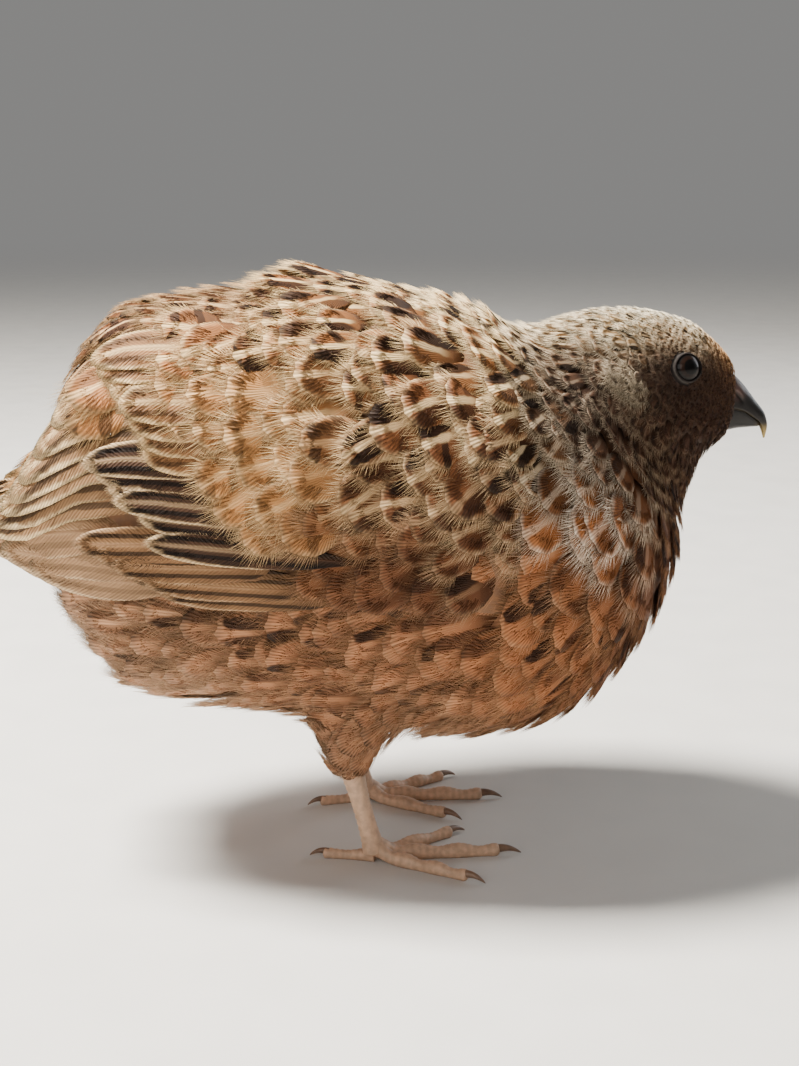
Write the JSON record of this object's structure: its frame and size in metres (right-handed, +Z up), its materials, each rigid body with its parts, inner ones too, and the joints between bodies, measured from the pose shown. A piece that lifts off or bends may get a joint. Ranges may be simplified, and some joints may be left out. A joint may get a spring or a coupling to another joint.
{
  "type": "coturnix quail",
  "caption": "Life-size still model of a standing coturnix quail hen with folded wings, plump buff and brown barred body, short bill and small feet.",
  "frame": {"origin": "on the floor under the middle of the bird, at the centre of its bounding box", "axes": "+X towards the bill, +Y towards the bird's left side, +Z up from the floor"},
  "size_m": [0.1706, 0.0908, 0.1245],
  "materials": {
    "body_feathers": "soft matte",
    "head_feathers": "soft matte",
    "wing_feathers": "soft matte",
    "tail_feathers": "soft matte",
    "bill_horn": "satin",
    "eye_dark": "wet gloss",
    "leg_skin": "scaly satin",
    "claw_horn": "satin"
  },
  "bodies": {
    "root": {"torso": "body_feathers", "neck": "head_feathers", "head": "head_feathers", "bill_upper": "bill_horn", "bill_lower": "bill_horn", "tail": "tail_feathers", "eye_right": "eye_dark", "eye_left": "eye_dark", "wing_right": "wing_feathers", "wing_left": "wing_feathers", "thigh_right": "body_feathers", "thigh_left": "body_feathers", "leg_right": "leg_skin", "leg_left": "leg_skin", "toe_right_inner": "leg_skin", "toe_right_middle": "leg_skin", "toe_right_outer": "leg_skin", "toe_right_hind": "leg_skin", "toe_left_inner": "leg_skin", "toe_left_middle": "leg_skin", "toe_left_outer": "leg_skin", "toe_left_hind": "leg_skin", "claw_right_inner": "claw_horn", "claw_right_middle": "claw_horn", "claw_right_outer": "claw_horn", "claw_right_hind": "claw_horn", "claw_left_inner": "claw_horn", "claw_left_middle": "claw_horn", "claw_left_outer": "claw_horn", "claw_left_hind": "claw_horn"}
  },
  "joints": []
}
